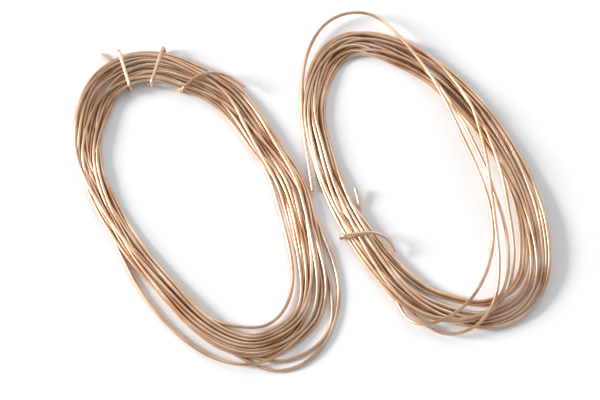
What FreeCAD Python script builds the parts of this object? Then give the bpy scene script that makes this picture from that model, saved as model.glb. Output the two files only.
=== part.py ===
import FreeCAD, Part

import math
import os

# Two hanks of bare round copper wire, lying side by side on a flat surface. Each hank is one
# length of wire wound into a long oval coil and bound by a short tie of the same wire.
# Millimetres, +Z up, z = 0 is the surface that both hanks lie on, and the origin is the middle
# of the pair. The left hank lies at -X, the right one at +X, and both lean towards -Y to the right.
#
# Each coil is one closed ring of the coil's outer shape. The turns that stand clear of it, the
# free end of the right wire and the two ties are round wire along their own routes.

WIRE_D = 1.0  # 18 gauge wire
WIRE_R = WIRE_D / 2
ARC_SHARE = 0.45  # share of the shorter run that a bend's arc takes up
TIE_GAP = 0.12  # free space between a tie and the coil that it binds

# A coil's stations, going round it clockwise as seen from above: the middle of the bundle in
# plan, its width across the turns, the height of its underside and of its top.
LEFT_COIL = [
    (-68.0, 13.5, 9.6, -0.6, 2.5),
    (-66.9, 24.6, 10.4, -0.2, 2.6),
    (-63.2, 32.9, 10.8, 1.1, 3.3),
    (-56.0, 38.6, 10.4, 1.3, 3.3),
    (-46.8, 39.7, 9.8, 1.3, 3.3),
    (-37.4, 36.4, 8.8, 1.3, 3.3),
    (-27.0, 31.0, 10.0, 0.8, 3.1),
    (-19.5, 22.6, 10.6, -0.4, 2.8),
    (-13.2, 12.9, 9.2, -0.6, 2.8),
    (-7.0, 3.2, 8.4, -0.6, 2.8),
    (-3.6, -7.0, 9.0, -0.6, 3.2),
    (-0.6, -20.0, 8.8, -0.6, 4.2),
    (1.2, -31.5, 8.6, -0.6, 4.8),
    (-1.2, -41.0, 9.6, -0.6, 5.0),
    (-8.4, -47.0, 9.8, -0.6, 5.0),
    (-18.5, -48.7, 8.6, -0.6, 5.0),
    (-31.0, -43.6, 7.6, -0.6, 4.8),
    (-42.0, -33.0, 6.6, -0.6, 4.4),
    (-51.2, -22.3, 6.2, -0.6, 4.0),
    (-58.8, -10.6, 6.6, -0.6, 3.4),
    (-65.2, 2.2, 8.2, -0.6, 2.8),
]
RIGHT_COIL = [
    (5.2, 6.0, 6.2, -0.6, 2.9),
    (3.0, 14.4, 5.4, -0.6, 2.9),
    (1.3, 22.6, 5.8, -0.6, 2.9),
    (1.4, 30.6, 6.6, -0.6, 2.9),
    (3.2, 37.8, 7.8, -0.6, 2.9),
    (6.7, 44.0, 8.8, -0.6, 3.0),
    (13.0, 47.8, 8.6, -0.6, 3.0),
    (21.0, 46.8, 7.8, -0.6, 3.0),
    (29.7, 43.2, 8.4, -0.6, 3.0),
    (38.0, 37.8, 8.6, -0.6, 3.0),
    (45.5, 30.8, 8.8, -0.6, 3.2),
    (53.0, 21.2, 9.4, -0.6, 3.6),
    (59.0, 10.4, 10.2, -0.6, 4.2),
    (62.8, 0.0, 12.0, -0.6, 4.8),
    (64.9, -9.4, 13.2, -0.6, 5.2),
    (65.7, -18.8, 13.2, -0.6, 5.2),
    (65.0, -26.8, 12.6, -0.6, 4.8),
    (62.2, -33.2, 12.0, -0.6, 4.2),
    (57.2, -37.4, 11.2, -0.6, 3.8),
    (50.0, -39.0, 10.2, -0.6, 3.6),
    (41.8, -37.4, 9.6, -0.6, 3.4),
    (34.0, -34.4, 9.6, -0.6, 3.2),
    (27.4, -29.4, 8.8, -0.4, 3.2),
    (20.8, -22.0, 7.6, 0.6, 3.4),
    (14.0, -12.2, 7.0, 1.3, 3.5),
    (9.0, -3.6, 6.8, 0.4, 3.1),
]
CUBIC = 3  # degree of a ring's surface
FIT_ROUNDS = 24  # corrections that bring a ring's surface onto its stations
ROOM = 200  # side of a box that holds both hanks and stands on their surface
# The round of a bundle's section, as shares of its half width and of its height.
SECTION = [(1.07, 0.1), (1.07, 0.8), (0.6, 1.04), (-0.6, 1.04),
           (-1.07, 0.8), (-1.07, 0.1), (-0.6, -0.02), (0.6, -0.02)]

# Turns that stand clear of their coil, as points of the wire's middle line. Both ends are in it.
LEFT_INNER_TURN = [
    (-10.6, -1.6, 1.4), (-8.4, -10.4, 1.2), (-6.2, -19.4, 1.0), (-5.2, -27.6, 1.0),
    (-6.4, -34.8, 1.0), (-9.8, -40.4, 1.2), (-15.2, -43.6, 1.6), (-21.4, -43.8, 2.0),
]
LEFT_LOWER_TURN = [
    (-61.0, -11.0, 1.0), (-57.0, -20.6, 0.6), (-52.1, -30.3, 0.6), (-45.3, -39.6, 0.6),
    (-37.1, -47.6, 0.6), (-27.8, -53.3, 0.9), (-18.2, -55.1, 1.9), (-9.6, -52.2, 2.1),
    (-3.0, -46.2, 1.8),
]
LEFT_OUTER_TURN = [
    (0.6, -7.2, 1.0), (3.8, -14.6, 0.8), (7.0, -22.8, 0.6), (8.6, -31.4, 0.6),
    (7.6, -40.0, 0.6), (4.2, -48.4, 0.6), (-2.8, -54.9, 0.6), (-11.8, -56.8, 0.6),
    (-19.6, -53.0, 0.6), (-26.2, -47.8, 1.4),
]
RIGHT_INNER_TURN = [
    (40.6, 27.6, 3.4), (45.0, 17.4, 4.4), (50.2, 6.0, 5.0), (53.9, -5.6, 5.4),
    (55.2, -17.0, 5.4), (53.2, -27.6, 5.3), (47.8, -36.0, 5.0), (39.8, -41.6, 4.2),
    (32.2, -43.0, 2.9), (27.8, -40.0, 1.2), (25.8, -35.0, 1.0), (23.2, -30.6, 1.0),
]
RIGHT_MIDDLE_TURN = [
    (50.4, 22.0, 3.8), (52.9, 11.0, 5.2), (54.1, -1.0, 6.3), (55.2, -13.0, 7.0),
    (56.6, -25.0, 6.6), (55.2, -36.6, 5.6), (48.8, -44.2, 4.2), (40.2, -46.0, 1.6),
    (32.8, -41.8, 1.0), (28.2, -35.6, 1.2),
]
# The free end starts at its cut tip, passes up beside the coil, loops out past its top and
# comes back over it.
RIGHT_FREE_END = [
    (0.5, -0.4, 1.3), (-0.7, 8.2, 1.3), (-2.0, 16.8, 1.2), (-2.8, 26.0, 1.1),
    (-2.8, 36.0, 1.1), (-0.9, 45.8, 1.6), (3.8, 53.8, 2.4), (11.4, 57.6, 3.0),
    (19.8, 56.6, 3.6), (26.6, 50.0, 4.0), (32.2, 42.2, 3.6), (38.2, 35.4, 2.4),
]

# A tie goes round its bundle between these points beside it, over it from the inner side to the
# outer and back under it, at heights that clear the coil's top there. Its two ends lie before
# and after them.
TIE_LOW = WIRE_R
LEFT_TIE_HIGH = LEFT_COIL[3][-1] + TIE_GAP + WIRE_R
LEFT_TIE_START = [(-64.6, 44.4, TIE_LOW), (-61.4, 41.2, TIE_LOW)]
LEFT_TIE_EDGES = [(-55.2, 32.0), (-59.2, 44.6), (-49.0, 33.4), (-45.4, 45.6), (-39.6, 31.4)]
LEFT_TIE_END = [(-34.8, 36.0, 4.0), (-30.4, 37.2, 4.0), (-25.2, 36.0, 3.9), (-20.2, 32.4, 3.7)]
RIGHT_TIE_HIGH = RIGHT_COIL[24][-1] + TIE_GAP + WIRE_R
RIGHT_TIE_START = [(13.4, 0.2, 2.2), (14.4, -3.4, 1.6), (15.0, -7.2, TIE_LOW)]
RIGHT_TIE_EDGES = [(9.0, -15.6)]
RIGHT_TIE_END = [(14.6, -14.6, 4.2), (19.4, -14.4, 4.1), (23.2, -16.2, 3.6), (25.2, -20.4, 2.4)]


def unit(vector):
    return FreeCAD.Vector(vector).normalize()


def through(points):
    """Poles of the closed cubic B-spline that passes through the points."""
    count = len(points)
    poles = list(points)
    for _ in range(FIT_ROUNDS):
        passed = [(poles[i - 1] + poles[i] * 4 + poles[(i + 1) % count]) / 6 for i in range(count)]
        poles = [pole + point - here for pole, point, here in zip(poles, points, passed)]
    return poles


def section(station, before, after):
    """The points round a bundle's section at a station, between the stations beside it."""
    x, y, width, bottom, top = station
    along = unit((after[0] - before[0], after[1] - before[1], 0))
    outward = FreeCAD.Vector(-along.y, along.x, 0)
    middle = FreeCAD.Vector(x, y, 0)
    return [
        middle + outward * (across * width / 2) + FreeCAD.Vector(0, 0, bottom + up * (top - bottom))
        for across, up in SECTION
    ]


def ring(stations):
    """A coil's outer shape: one smooth closed ring through its stations, flat where it lies."""
    count = len(stations)
    sections = [
        section(stations[i], stations[i - 1], stations[(i + 1) % count]) for i in range(count)
    ]
    lines = [through(line) for line in zip(*sections)]
    surface = Part.BSplineSurface()
    surface.buildFromPolesMultsKnots(
        list(zip(*lines)),
        [1] * (count + 1),
        [1] * (len(SECTION) + 1),
        [float(i) for i in range(count + 1)],
        [float(i) for i in range(len(SECTION) + 1)],
        True,
        True,
        CUBIC,
        CUBIC,
    )
    solid = Part.Solid(Part.Shell([surface.toShape()]))
    if solid.Volume < 0:
        solid.reverse()
    room = Part.makeBox(ROOM, ROOM, ROOM, FreeCAD.Vector(-ROOM / 2, -ROOM / 2, 0))
    return solid.common(room).Solids[0]


def bent_wire(name, points):
    """Round wire along straight runs, joined by an arc at each point."""
    points = [FreeCAD.Vector(p) for p in points]
    edges, start, radii = [], points[0], []
    for before, corner, after in zip(points, points[1:], points[2:]):
        back, ahead = before - corner, after - corner
        trim = ARC_SHARE * min(back.Length, ahead.Length)
        enter, leave = corner + unit(back) * trim, corner + unit(ahead) * trim
        half_turn = (math.pi - back.getAngle(ahead)) / 2
        radii.append(trim / math.tan(half_turn))
        to_middle = unit(unit(back) + unit(ahead))
        depth = radii[-1] * (1 / math.cos(half_turn) - 1)
        edges.append(Part.LineSegment(start, enter).toShape())
        edges.append(Part.Arc(enter, corner + to_middle * depth, leave).toShape())
        start = leave
    edges.append(Part.LineSegment(start, points[-1]).toShape())
    path = Part.Wire(edges)
    outline = Part.Wire(Part.makeCircle(WIRE_R, points[0], unit(points[1] - points[0])))
    solid = path.makePipeShell([outline], True, False)
    share = solid.Volume / (math.pi * WIRE_R**2 * path.Length)
    print(f"{name}: {path.Length:.0f} mm long, tightest bend {min(radii):.1f} mm, volume share {share:.4f}")
    return solid


def tie(name, start, edges, end, high):
    """A tie wire: its start, its turns round the bundle's edges, and its end."""
    heights = (TIE_LOW, high)
    route = list(start)
    for x, y in edges:
        route.extend((x, y, z) for z in heights)
        heights = heights[::-1]
    return bent_wire(name, route + list(end))


def model():
    """Each piece by the name of its node."""
    return {
        "left_coil": ring(LEFT_COIL),
        "left_inner_turn": bent_wire("left_inner_turn", LEFT_INNER_TURN),
        "left_lower_turn": bent_wire("left_lower_turn", LEFT_LOWER_TURN),
        "left_outer_turn": bent_wire("left_outer_turn", LEFT_OUTER_TURN),
        "left_tie": tie("left_tie", LEFT_TIE_START, LEFT_TIE_EDGES, LEFT_TIE_END, LEFT_TIE_HIGH),
        "right_coil": ring(RIGHT_COIL),
        "right_inner_turn": bent_wire("right_inner_turn", RIGHT_INNER_TURN),
        "right_middle_turn": bent_wire("right_middle_turn", RIGHT_MIDDLE_TURN),
        "right_free_end": bent_wire("right_free_end", RIGHT_FREE_END),
        "right_tie": tie("right_tie", RIGHT_TIE_START, RIGHT_TIE_EDGES, RIGHT_TIE_END, RIGHT_TIE_HIGH),
    }


os.makedirs("parts", exist_ok=True)
for node, shape in model().items():
    if not shape.isValid():
        raise ValueError(f"{node} is not a valid solid")
    shape.exportStep(f"parts/{node}.step")
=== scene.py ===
import math

import bpy
import numpy as np
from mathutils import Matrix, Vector


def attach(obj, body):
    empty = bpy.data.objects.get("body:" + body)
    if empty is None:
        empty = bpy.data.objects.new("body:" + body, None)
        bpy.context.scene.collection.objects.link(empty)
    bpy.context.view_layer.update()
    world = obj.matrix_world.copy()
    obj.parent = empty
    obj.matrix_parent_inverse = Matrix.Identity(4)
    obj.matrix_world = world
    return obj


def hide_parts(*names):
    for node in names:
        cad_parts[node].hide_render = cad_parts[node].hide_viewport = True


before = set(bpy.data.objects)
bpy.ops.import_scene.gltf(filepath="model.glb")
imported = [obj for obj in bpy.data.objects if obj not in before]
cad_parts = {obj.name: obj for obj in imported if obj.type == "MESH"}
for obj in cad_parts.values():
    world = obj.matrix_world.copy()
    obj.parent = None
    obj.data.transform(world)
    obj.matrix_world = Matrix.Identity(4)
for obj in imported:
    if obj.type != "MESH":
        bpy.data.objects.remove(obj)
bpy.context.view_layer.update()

# Two hanks of bare round copper wire on a pale table. The routes below are in millimetres, in
# the frame's own axes, and MM turns them into the scene's metres.
MM = 0.001
WIRE_D = 1.0
WIRE_R = WIRE_D / 2
SECTIONS = 60  # places round a coil where its turns' positions are worked out

# A coil's stations, clockwise from above: the middle of its bundle, the bundle's width across
# the turns, and the heights of its underside and of its top.
LEFT_COIL = [
    (-68.0, 13.5, 9.6, 0.0, 2.5), (-66.9, 24.6, 10.4, 0.2, 2.6), (-63.2, 32.9, 10.8, 1.05, 3.3),
    (-56.0, 38.6, 10.4, 1.05, 3.3), (-46.8, 39.7, 9.8, 1.05, 3.3), (-37.4, 36.4, 8.8, 1.05, 3.3),
    (-27.0, 31.0, 10.0, 0.8, 3.1), (-19.5, 22.6, 10.6, 0.0, 2.8), (-13.2, 12.9, 9.2, 0.0, 2.8),
    (-7.0, 3.2, 8.4, 0.0, 2.8), (-3.6, -7.0, 9.0, 0.0, 3.2), (-1.0, -20.0, 7.8, 0.0, 4.2),
    (-0.2, -31.5, 6.2, 0.0, 4.8), (-3.0, -40.4, 6.6, 0.0, 5.0), (-9.4, -46.0, 8.0, 0.0, 5.0),
    (-18.5, -48.5, 7.8, 0.0, 5.0), (-30.8, -43.4, 6.8, 0.0, 4.8), (-41.8, -32.8, 5.8, 0.0, 4.4),
    (-51.0, -22.1, 5.6, 0.0, 4.0), (-58.8, -10.6, 6.4, 0.0, 3.4), (-65.2, 2.2, 8.2, 0.0, 2.8),
]
RIGHT_COIL = [
    (5.2, 6.0, 6.2, 0.0, 2.9), (3.0, 14.4, 5.4, 0.0, 2.9), (1.3, 22.6, 5.8, 0.0, 2.9),
    (1.4, 30.6, 6.6, 0.0, 2.9), (3.2, 37.8, 7.8, 0.0, 2.9), (6.7, 44.0, 8.8, 0.0, 3.0),
    (13.0, 47.8, 8.6, 0.0, 3.0), (21.0, 46.8, 7.8, 0.0, 3.0), (29.7, 43.2, 8.4, 0.0, 3.0),
    (38.0, 37.8, 8.6, 0.0, 3.0), (45.5, 30.8, 8.8, 0.0, 3.2), (53.1, 21.6, 8.4, 0.2, 3.6),
    (59.7, 10.2, 6.8, 0.9, 4.2), (64.1, -0.6, 7.4, 1.5, 4.8), (66.4, -10.2, 8.4, 2.0, 5.2),
    (67.1, -19.4, 9.2, 2.1, 5.2), (66.3, -27.4, 9.8, 1.7, 4.8), (62.9, -33.8, 10.2, 1.0, 4.2),
    (57.3, -37.8, 10.4, 0.4, 3.8), (50.0, -39.2, 10.0, 0.0, 3.6), (41.8, -37.4, 9.6, 0.0, 3.4),
    (34.0, -34.4, 9.6, 0.0, 3.2), (27.4, -29.4, 8.8, 0.0, 3.2), (20.8, -22.0, 7.6, 0.6, 3.4),
    (14.0, -12.2, 7.0, 1.05, 3.5), (9.0, -3.6, 6.8, 0.4, 3.1),
]

# Turns that stand clear of their coil, as points of the wire's middle line: which turn, and the
# points where it leaves the others' company.
LEFT_LOOSE = {
    2: [
        (-10.6, -1.6, 1.4), (-8.4, -10.4, 1.2), (-6.2, -19.4, 1.0), (-5.2, -27.6, 1.0),
        (-6.4, -34.8, 1.0), (-9.8, -40.4, 1.2), (-15.2, -43.6, 1.6), (-21.4, -43.8, 2.0),
    ],
    5: [
        (-3.0, -46.2, 1.8), (-9.6, -52.2, 2.1), (-18.2, -55.1, 1.9), (-27.8, -53.3, 0.9),
        (-37.1, -47.6, 0.6), (-45.3, -39.6, 0.6), (-52.1, -30.3, 0.6), (-57.0, -20.6, 0.6),
        (-61.0, -11.0, 1.0),
    ],
    1: [
        (0.6, -7.2, 1.0), (3.8, -14.6, 0.8), (7.0, -22.8, 0.6), (8.6, -31.4, 0.6),
        (7.6, -40.0, 0.6), (4.2, -48.4, 0.6), (-2.8, -54.9, 0.6), (-11.8, -56.8, 0.6),
        (-19.6, -53.0, 0.6), (-26.2, -47.8, 1.4),
    ],
    3: [
        (2, -15, 1), (3.5, -21, 0.8), (5.5, -28, 0.6), (6.5, -36, 0.6), (6, -42, 0.6),
        (3.5, -47, 0.6), (-1.5, -51, 0.6), (-8, -53.5, 0.6), (-15, -53, 0.8), (-21, -50.5, 1),
        (-27, -46, 1),
    ],
    4: [
        (0.5, -12, 2.2), (2.5, -19, 2), (4.5, -27, 1.5), (4.5, -34, 1), (3, -40, 0.8),
        (-1, -45, 0.6), (-6, -49, 0.6), (-12.5, -51.5, 0.8), (-18.5, -50, 1.4), (-24.5, -45.5, 2),
    ],
}
RIGHT_LOOSE = {
    0: [
        (26.6, 50.0, 4.0), (32.4, 42.4, 4.2), (37.6, 34.8, 4.4), (41.6, 26.4, 4.5),
        (45.6, 16.8, 4.7), (50.2, 6.0, 5.0), (53.9, -5.6, 5.4), (54.8, -17.0, 5.4),
        (52.4, -27.6, 5.3), (47.4, -36.0, 5.0), (39.8, -41.6, 4.2), (32.2, -43.0, 2.9),
        (27.8, -40.0, 1.2), (25.8, -35.0, 1.0), (23.2, -30.6, 1.0),
    ],
    1: [
        (46, 33, 4), (49, 27, 4.3), (51, 19.5, 4.8), (53, 10, 5.6),
        (54.1, -1.0, 6.3), (55.2, -13.0, 7.0), (56.2, -25.0, 6.6), (54.8, -36.6, 5.6),
        (48.8, -44.2, 4.2), (40.2, -46.0, 1.6), (32.8, -41.8, 1.0), (27.4, -35.6, 1.2),
    ],
    2: [
        (51, 25, 4), (53, 19, 4.5), (55, 13, 5), (57, 6, 5.5), (58.5, -1, 5.5), (59.5, -9, 5.5),
        (60.5, -17, 5.5), (60.5, -24, 5.2), (59.5, -30, 4.6), (57, -36, 3.8), (52.5, -40.5, 3),
    ],
    3: [
        (43, 29, 3.5), (46, 22, 4), (49, 15, 4.4), (51.5, 9, 4.8), (53.5, 4, 5), (55, -2, 5.2),
        (57, -8, 5.4), (58.5, -15, 5.6), (59, -22, 5.6), (58.5, -29, 5.2), (56, -35, 4.8),
        (53, -39, 4.2), (48.5, -42.5, 3.4),
    ],
}
# The right wire's free end: from its cut tip up beside the coil, out past its top and back.
RIGHT_FREE_END = [
    (0.5, -0.4, 1.3), (-0.7, 8.2, 1.3), (-2.0, 16.8, 1.2), (-2.8, 26.0, 1.1),
    (-2.8, 36.0, 1.1), (-0.9, 45.8, 1.6), (3.8, 53.8, 2.4), (11.4, 57.6, 3.0),
    (19.8, 56.6, 3.6), (26.6, 50.0, 4.0),
]

# How a coil's turns lie: turns in all, how many times they drift from side to side of the
# bundle and back, how much they wander, where round the coil the wire starts and ends, and how
# much higher each turn is laid than the one before it.
LEFT_WINDING = {
    "turns": 14, "crossings": 1.6, "wander": 0.28, "start": 4.3, "end": 3.4, "rise": 0.6, "seed": 3
}
RIGHT_WINDING = {
    "turns": 13, "crossings": 1.6, "wander": 0.36, "start": 8.4, "end": 24.4, "rise": -0.6, "seed": 8
}

FIT_ROUNDS = 24  # corrections that bring a closed spline onto its points
WAVES = 6  # waves that a turn's wandering is made of
WAVE_RATES = (0.3, 2.2)  # the slowest and the quickest of them, in waves per turn
SPREAD_REACH = 3  # sections on each side over which the spread of the lanes is evened out
ROUTE_STEPS = 240  # places looked at in each span of a loose route
LOOSE_ENDS = 2  # sections at each end of a loose stretch that may still shift
EASE = 5  # stations over which a turn leaves its place in the bundle for a loose stretch
CARRY = 1.5  # sections for which it goes on in the direction of its loose stretch

# How the turns settle, in small rounds.
SETTLE_ROUNDS = 420
FALL = 0.015  # millimetres that a turn comes down in a round
RETURN = 0.03  # share of the way back to its lane that it goes in a round
PUSH = 0.4  # share of their overlap that each of two turns moves by in a round
SPACING = 1.02  # how far apart middle lines are pushed, in wire diameters
ASIDE = 1e3  # millimetres that an unused stretch is moved away, times its turn's number from 0
LEAST = 1e-9  # added to a distance so that it is never zero when divided by

# The view: its middle, its width there, and how far off and how high the camera is.
VIEW_MIDDLE = (-0.00333, -0.00287, 0)
VIEW_WIDTH = 0.18182
VIEW_DISTANCE = 0.70
VIEW_HEIGHT = 72  # degrees above the table
SENSOR_WIDTH = 36

# Each lamp's direction, its spread in degrees, and its strength.
LAMPS = {
    "side_lamp": ((-1.0, 0.05, 0.38), 20, 4.7),
    "back_lamp": ((0.5, 1.0, 0.9), 60, 1.0),
}
LAMP_COLOUR = (1.0, 0.99, 0.97)
# The surrounding from the horizon up: where in the ramp each colour is, and its strength.
LOW_LIGHT = (0.30, 0.31, 0.33, 1)
BRIGHT_LIGHT = (0.95, 0.97, 1.0, 1)
BRIGHT_PLACE = 0.62
OVERHEAD_LIGHT = (0.26, 0.27, 0.29, 1)
SURROUNDING_STRENGTH = 0.63

TABLE_REACH = 3.0
TABLE_COLOUR = (0.92, 0.92, 0.93, 1)
TABLE_ROUGHNESS = 0.7

# The copper: its darker and lighter tone, its colour at grazing angles, and its roughness.
COPPER_TONES = ((0.3, (0.60, 0.335, 0.185, 1)), (0.7, (0.91, 0.71, 0.545, 1)))
COPPER_EDGE = (0.85, 0.52, 0.32, 1)
COPPER_ROUGHNESS = (0.32, 0.46)
TONE_SCALE = 90
TONE_DETAIL = 4
MARK_SCALE = 2500
MARK_DETAIL = 2
MARK_STRENGTH = 0.15
MARK_DEPTH = 0.00005

CURVE_STEPS = 4  # faces along the wire for each of its control points
ROUND_STEPS = 3  # how finely its round section is divided


class Loop:
    """A coil's bundle: its middle line, outward direction, half width, underside and top."""

    def __init__(self, stations):
        self.count = len(stations)
        place = np.arange(SECTIONS) * self.count / SECTIONS
        line = spline(through(np.array(stations)), place)
        self.middle = line[:, :2]
        along = np.roll(self.middle, -1, 0) - np.roll(self.middle, 1, 0)
        along /= np.linalg.norm(along, axis=1)[:, None]
        self.outward = np.stack([-along[:, 1], along[:, 0]], 1)
        self.half = line[:, 2] / 2
        self.low = np.maximum(line[:, 3], 0)
        self.top = line[:, 4]

    def beside(self, route):
        """Where a route passes each section: the section, its distance outward, its height."""
        line = smooth_line(np.array(route))
        gap = np.linalg.norm(line[:, None, :2] - self.middle[None], axis=2)
        section = gap.argmin(1)
        offset = line[:, :2] - self.middle[section]
        across = (offset * self.outward[section]).sum(1)
        found = {}
        for here, out, height, miss in zip(section, across, line[:, 2], gap.min(1) - abs(across)):
            if here not in found or miss < found[here][2]:
                found[here] = (out, height, miss)
        return {here: (out, height) for here, (out, height, _) in found.items()}


def through(points):
    """Poles of the closed cubic B-spline that passes through the points."""
    poles = points.copy()
    for _ in range(FIT_ROUNDS):
        poles += points - (np.roll(poles, 1, 0) + 4 * poles + np.roll(poles, -1, 0)) / 6
    return poles


def spline(poles, at):
    """Points of a closed uniform cubic B-spline."""
    whole = np.floor(at).astype(int)
    f = (at - whole)[:, None]
    weights = [(1 - f) ** 3, 3 * f**3 - 6 * f**2 + 4, -3 * f**3 + 3 * f**2 + 3 * f + 1, f**3]
    count = len(poles)
    return sum(w * poles[(whole + step) % count] for step, w in zip((-1, 0, 1, 2), weights)) / 6


def smooth_line(points):
    """Places along the curve that a route's points control, to see which sections it passes."""
    f = np.linspace(0, 1, ROUTE_STEPS, endpoint=False)[:, None]
    ends = np.vstack([2 * points[0] - points[1], points, 2 * points[-1] - points[-2]])
    spans = [
        (a * (1 - f) ** 2 + b * (1 + 2 * f - 2 * f**2) + c * f**2) / 2
        for a, b, c in zip(ends, ends[1:], ends[2:])
    ]
    return np.vstack(spans)


def lanes(winding, turns):
    """Where each turn runs across the bundle, from -1 at its inner side to 1 at its outer."""
    rng = np.random.default_rng(winding["seed"])
    s = np.arange(turns * SECTIONS) / SECTIONS
    lane = 1 + 4 * s * winding["crossings"] / winding["turns"]
    for _ in range(WAVES):
        rate, phase = rng.uniform(*WAVE_RATES), rng.uniform(0, 2 * math.pi)
        lane += winding["wander"] * np.sin(2 * math.pi * rate * s + phase)
    return (1 - abs(lane % 4 - 2)).reshape(turns, SECTIONS)


def spread(lane, pinned):
    """The lanes drawn out so that the turns left in the bundle reach both of its sides."""
    inner = np.where(pinned, 1, lane).min(0)
    outer = np.where(pinned, -1, lane).max(0)
    near = np.arange(-SPREAD_REACH, SPREAD_REACH + 1)
    around = (np.arange(SECTIONS)[:, None] + near) % SECTIONS
    inner, outer = inner[around].mean(1), outer[around].mean(1)
    return 2 * (lane - inner) / (outer - inner) - 1


def wind(loop, winding, loose):
    """The line of a coil's turns: laid down one after the other, then settled."""
    turns = winding["turns"] + 1
    first = round(winding["start"] / loop.count * SECTIONS)
    last = winding["turns"] * SECTIONS + round(winding["end"] / loop.count * SECTIONS)
    run = np.arange(turns * SECTIONS).reshape(turns, SECTIONS)
    used = (run >= first) & (run <= last)
    pinned = np.zeros((turns, SECTIONS), bool)
    stretches = []
    for turn, route in loose.items():
        found = loop.beside(route)
        begin = next(here for here in found if (here - 1) % SECTIONS not in found)
        places = sorted(found, key=lambda here: (here - begin) % SECTIONS)
        start = turn * SECTIONS + places[0]
        stretches.append((start, [found[here] for here in places], np.array(route)))
        pinned.flat[start + LOOSE_ENDS : start + len(places) - LOOSE_ENDS] = True
    across = spread(lanes(winding, turns), pinned) * (loop.half - WIRE_R)
    laid = run if winding["rise"] > 0 else run - run.max()
    height = loop.low + WIRE_R + winding["rise"] * laid / SECTIONS
    stretches.sort(key=lambda stretch: stretch[0])
    for start, passed, _ in stretches:
        join(across, height, start, passed, round(EASE / loop.count * SECTIONS))
    across, height = settle(loop, across, height, pinned, used)
    points = np.empty((turns, SECTIONS, 3))
    points[..., :2] = loop.middle + loop.outward * across[..., None]
    points[..., 2] = height
    line = points.reshape(-1, 3)
    wire, done = [], first
    for start, passed, route in stretches:
        wire += [line[done : start + 1], route[1:-1]]
        done = start + len(passed) - 1
    return np.vstack([*wire, line[done : last + 1]])


def join(across, height, start, passed, ease):
    """Notes where a loose stretch passes, and eases its turn towards it on both sides."""
    outs, ups = np.array(passed).T
    for values, loose in ((across, outs), (height, ups)):
        values.flat[start : start + len(loose)] = loose
        for edge, beside, sign in ((0, 1, -1), (len(loose) - 1, len(loose) - 2, 1)):
            for step in range(1, ease + 1):
                here = start + edge + sign * step
                keep = 0.5 + 0.5 * math.cos(math.pi * step / (ease + 1))
                ahead = CARRY * (1 - math.exp(-step / CARRY))
                aim = loose[edge] + ahead * (loose[edge] - loose[beside])
                values.flat[here] += keep * (aim - values.flat[here])


def smoothed(values, pinned):
    """The values with each one halfway to the mean of the two beside it along the wire."""
    flat = values.reshape(-1)
    mean = flat.copy()
    mean[1:-1] = (flat[:-2] + flat[2:]) / 2
    return np.where(pinned, values, (values + mean.reshape(values.shape)) / 2)


def settle(loop, across, height, pinned, used):
    """Lets the turns down, pushes those that share a place apart, and keeps each one smooth."""
    wish = across.copy()
    turns = len(across)
    free = ~pinned
    apart = np.arange(turns)[:, None] * np.where(used, 0, ASIDE)
    for _ in range(SETTLE_ROUNDS):
        across = across + RETURN * (wish - across) * free
        height = height - FALL * free
        across, height = smoothed(across, pinned), smoothed(height, pinned)
        side = across + apart
        da = side[:, None] - side[None]
        dz = height[:, None] - height[None]
        dist = np.sqrt(da**2 + dz**2) + LEAST
        push = np.clip(SPACING * WIRE_D - dist, 0, None) * PUSH
        push[np.arange(turns), np.arange(turns)] = 0
        across = across + (push * da / dist).sum(1) * free
        height = height + (push * dz / dist).sum(1) * free
        height = np.where(free, np.clip(height, loop.low + WIRE_R, loop.top - WIRE_R), height)
    return across, height


def wire_curve(name, points, material):
    """One open NURBS curve with round section, its control points in millimetres."""
    data = bpy.data.curves.new(name, "CURVE")
    data.dimensions = "3D"
    data.bevel_depth = WIRE_R * MM
    data.bevel_resolution = ROUND_STEPS
    data.resolution_u = CURVE_STEPS
    data.use_fill_caps = True
    line = data.splines.new("NURBS")
    line.points.add(len(points) - 1)
    line.points.foreach_set("co", np.column_stack([points * MM, np.ones(len(points))]).ravel())
    line.order_u = 3
    line.use_endpoint_u = True
    data.materials.append(material)
    piece = bpy.data.objects.new(name, data)
    bpy.context.scene.collection.objects.link(piece)
    return piece


def curve_length(piece):
    """The length of a curve's own line, in metres."""
    bare = piece.data.copy()
    bare.bevel_depth = 0
    holder = bpy.data.objects.new("measured", bare)
    mesh = bpy.data.meshes.new_from_object(holder)
    points = np.array([v.co for v in mesh.vertices])
    bpy.data.objects.remove(holder)
    bpy.data.meshes.remove(mesh)
    bpy.data.curves.remove(bare)
    return float(np.linalg.norm(np.diff(points, axis=0), axis=1).sum())


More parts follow.
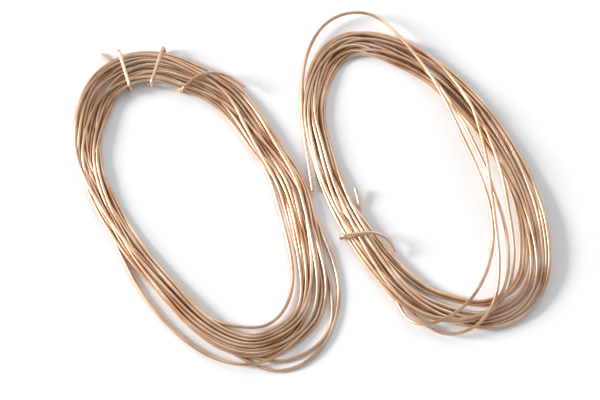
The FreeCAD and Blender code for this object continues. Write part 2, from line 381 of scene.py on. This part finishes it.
def copper():
    """Bright drawn copper: streaks along the wire, faint tarnish and fine drawing marks."""
    material = bpy.data.materials.new("copper_wire")
    material.use_nodes = True
    nodes, links = material.node_tree.nodes, material.node_tree.links
    shader = nodes["Principled BSDF"]
    shader.inputs["Metallic"].default_value = 1.0
    shader.inputs["Specular Tint"].default_value = COPPER_EDGE
    place = nodes.new("ShaderNodeTexCoord")
    tone = nodes.new("ShaderNodeTexNoise")
    tone.inputs["Scale"].default_value = TONE_SCALE
    tone.inputs["Detail"].default_value = TONE_DETAIL
    links.new(place.outputs["Object"], tone.inputs["Vector"])
    ramp = nodes.new("ShaderNodeValToRGB")
    for element, (position, colour) in zip(ramp.color_ramp.elements, COPPER_TONES):
        element.position = position
        element.color = colour
    links.new(tone.outputs["Fac"], ramp.inputs["Fac"])
    links.new(ramp.outputs["Color"], shader.inputs["Base Color"])
    rough = nodes.new("ShaderNodeMapRange")
    rough.inputs["To Min"].default_value = COPPER_ROUGHNESS[0]
    rough.inputs["To Max"].default_value = COPPER_ROUGHNESS[1]
    links.new(tone.outputs["Fac"], rough.inputs["Value"])
    links.new(rough.outputs["Result"], shader.inputs["Roughness"])
    marks = nodes.new("ShaderNodeTexNoise")
    marks.inputs["Scale"].default_value = MARK_SCALE
    marks.inputs["Detail"].default_value = MARK_DETAIL
    links.new(place.outputs["Object"], marks.inputs["Vector"])
    bump = nodes.new("ShaderNodeBump")
    bump.inputs["Strength"].default_value = MARK_STRENGTH
    bump.inputs["Distance"].default_value = MARK_DEPTH
    links.new(marks.outputs["Fac"], bump.inputs["Height"])
    links.new(bump.outputs["Normal"], shader.inputs["Normal"])
    return material


def camera():
    """Looks down at the pair from the front, nearly from above."""
    data = bpy.data.cameras.new("camera")
    data.sensor_width = SENSOR_WIDTH
    data.lens = SENSOR_WIDTH * VIEW_DISTANCE / VIEW_WIDTH
    eye = bpy.data.objects.new("camera", data)
    height = math.radians(VIEW_HEIGHT)
    away = VIEW_DISTANCE * Vector((0, -math.cos(height), math.sin(height)))
    eye.location = Vector(VIEW_MIDDLE) + away
    eye.rotation_euler = (math.pi / 2 - height, 0, 0)
    bpy.context.scene.collection.objects.link(eye)
    bpy.context.scene.camera = eye


def lamp(name, place, spread, strength):
    """A far lamp in the direction of a place, as wide as its spread in degrees makes it look."""
    data = bpy.data.lights.new(name, "SUN")
    data.angle = math.radians(spread)
    data.energy = strength
    data.color = LAMP_COLOUR
    piece = bpy.data.objects.new(name, data)
    piece.location = place
    piece.rotation_euler = Vector(place).to_track_quat("Z", "Y").to_euler()
    bpy.context.scene.collection.objects.link(piece)


def lights():
    """A soft lamp on the left, a weaker and wider one at the back, and a pale surrounding."""
    for name, (place, spread_angle, strength) in LAMPS.items():
        lamp(name, place, spread_angle, strength)
    world = bpy.data.worlds.new("surrounding")
    world.use_nodes = True
    nodes, links = world.node_tree.nodes, world.node_tree.links
    direction = nodes.new("ShaderNodeTexCoord")
    split = nodes.new("ShaderNodeSeparateXYZ")
    links.new(direction.outputs["Generated"], split.inputs["Vector"])
    ramp = nodes.new("ShaderNodeValToRGB")
    elements = ramp.color_ramp.elements
    elements[0].position = 0.0
    elements[0].color = LOW_LIGHT
    elements[1].position = 1.0
    elements[1].color = OVERHEAD_LIGHT
    bright = elements.new(BRIGHT_PLACE)
    bright.color = BRIGHT_LIGHT
    links.new(split.outputs["Z"], ramp.inputs["Fac"])
    links.new(ramp.outputs["Color"], nodes["Background"].inputs["Color"])
    nodes["Background"].inputs["Strength"].default_value = SURROUNDING_STRENGTH
    bpy.context.scene.world = world
    bpy.context.scene.view_settings.view_transform = "Standard"


def table():
    """The plain white table top."""
    data = bpy.data.meshes.new("table_top")
    sides = ((-1, -1), (1, -1), (1, 1), (-1, 1))
    corners = [(x * TABLE_REACH, y * TABLE_REACH, 0) for x, y in sides]
    data.from_pydata(corners, [], [(0, 1, 2, 3)])
    top = bpy.data.objects.new("table_top", data)
    material = bpy.data.materials.new("table_white")
    material.use_nodes = True
    shader = material.node_tree.nodes["Principled BSDF"]
    shader.inputs["Base Color"].default_value = TABLE_COLOUR
    shader.inputs["Roughness"].default_value = TABLE_ROUGHNESS
    data.materials.append(material)
    bpy.context.scene.collection.objects.link(top)


def hank(side, points, copper_wire):
    """A hank's whole wire as one cord, riding on its body in place of the coil's solids."""
    piece = wire_curve(f"{side}_wire", points, copper_wire)
    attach(piece, f"{side}_hank")
    solids = [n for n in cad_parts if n.startswith(side) and not n.endswith("tie")]
    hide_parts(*solids)
    length = curve_length(piece)
    print(f"{side}_wire: {length:.3f} m")
    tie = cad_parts[f"{side}_tie"]
    for slot in tie.material_slots:
        slot.material = copper_wire


camera()
lights()
table()
copper_wire = copper()
hank("left", wind(Loop(LEFT_COIL), LEFT_WINDING, LEFT_LOOSE), copper_wire)
right_turns = wind(Loop(RIGHT_COIL), RIGHT_WINDING, RIGHT_LOOSE)
hank("right", np.vstack([np.array(RIGHT_FREE_END), right_turns]), copper_wire)
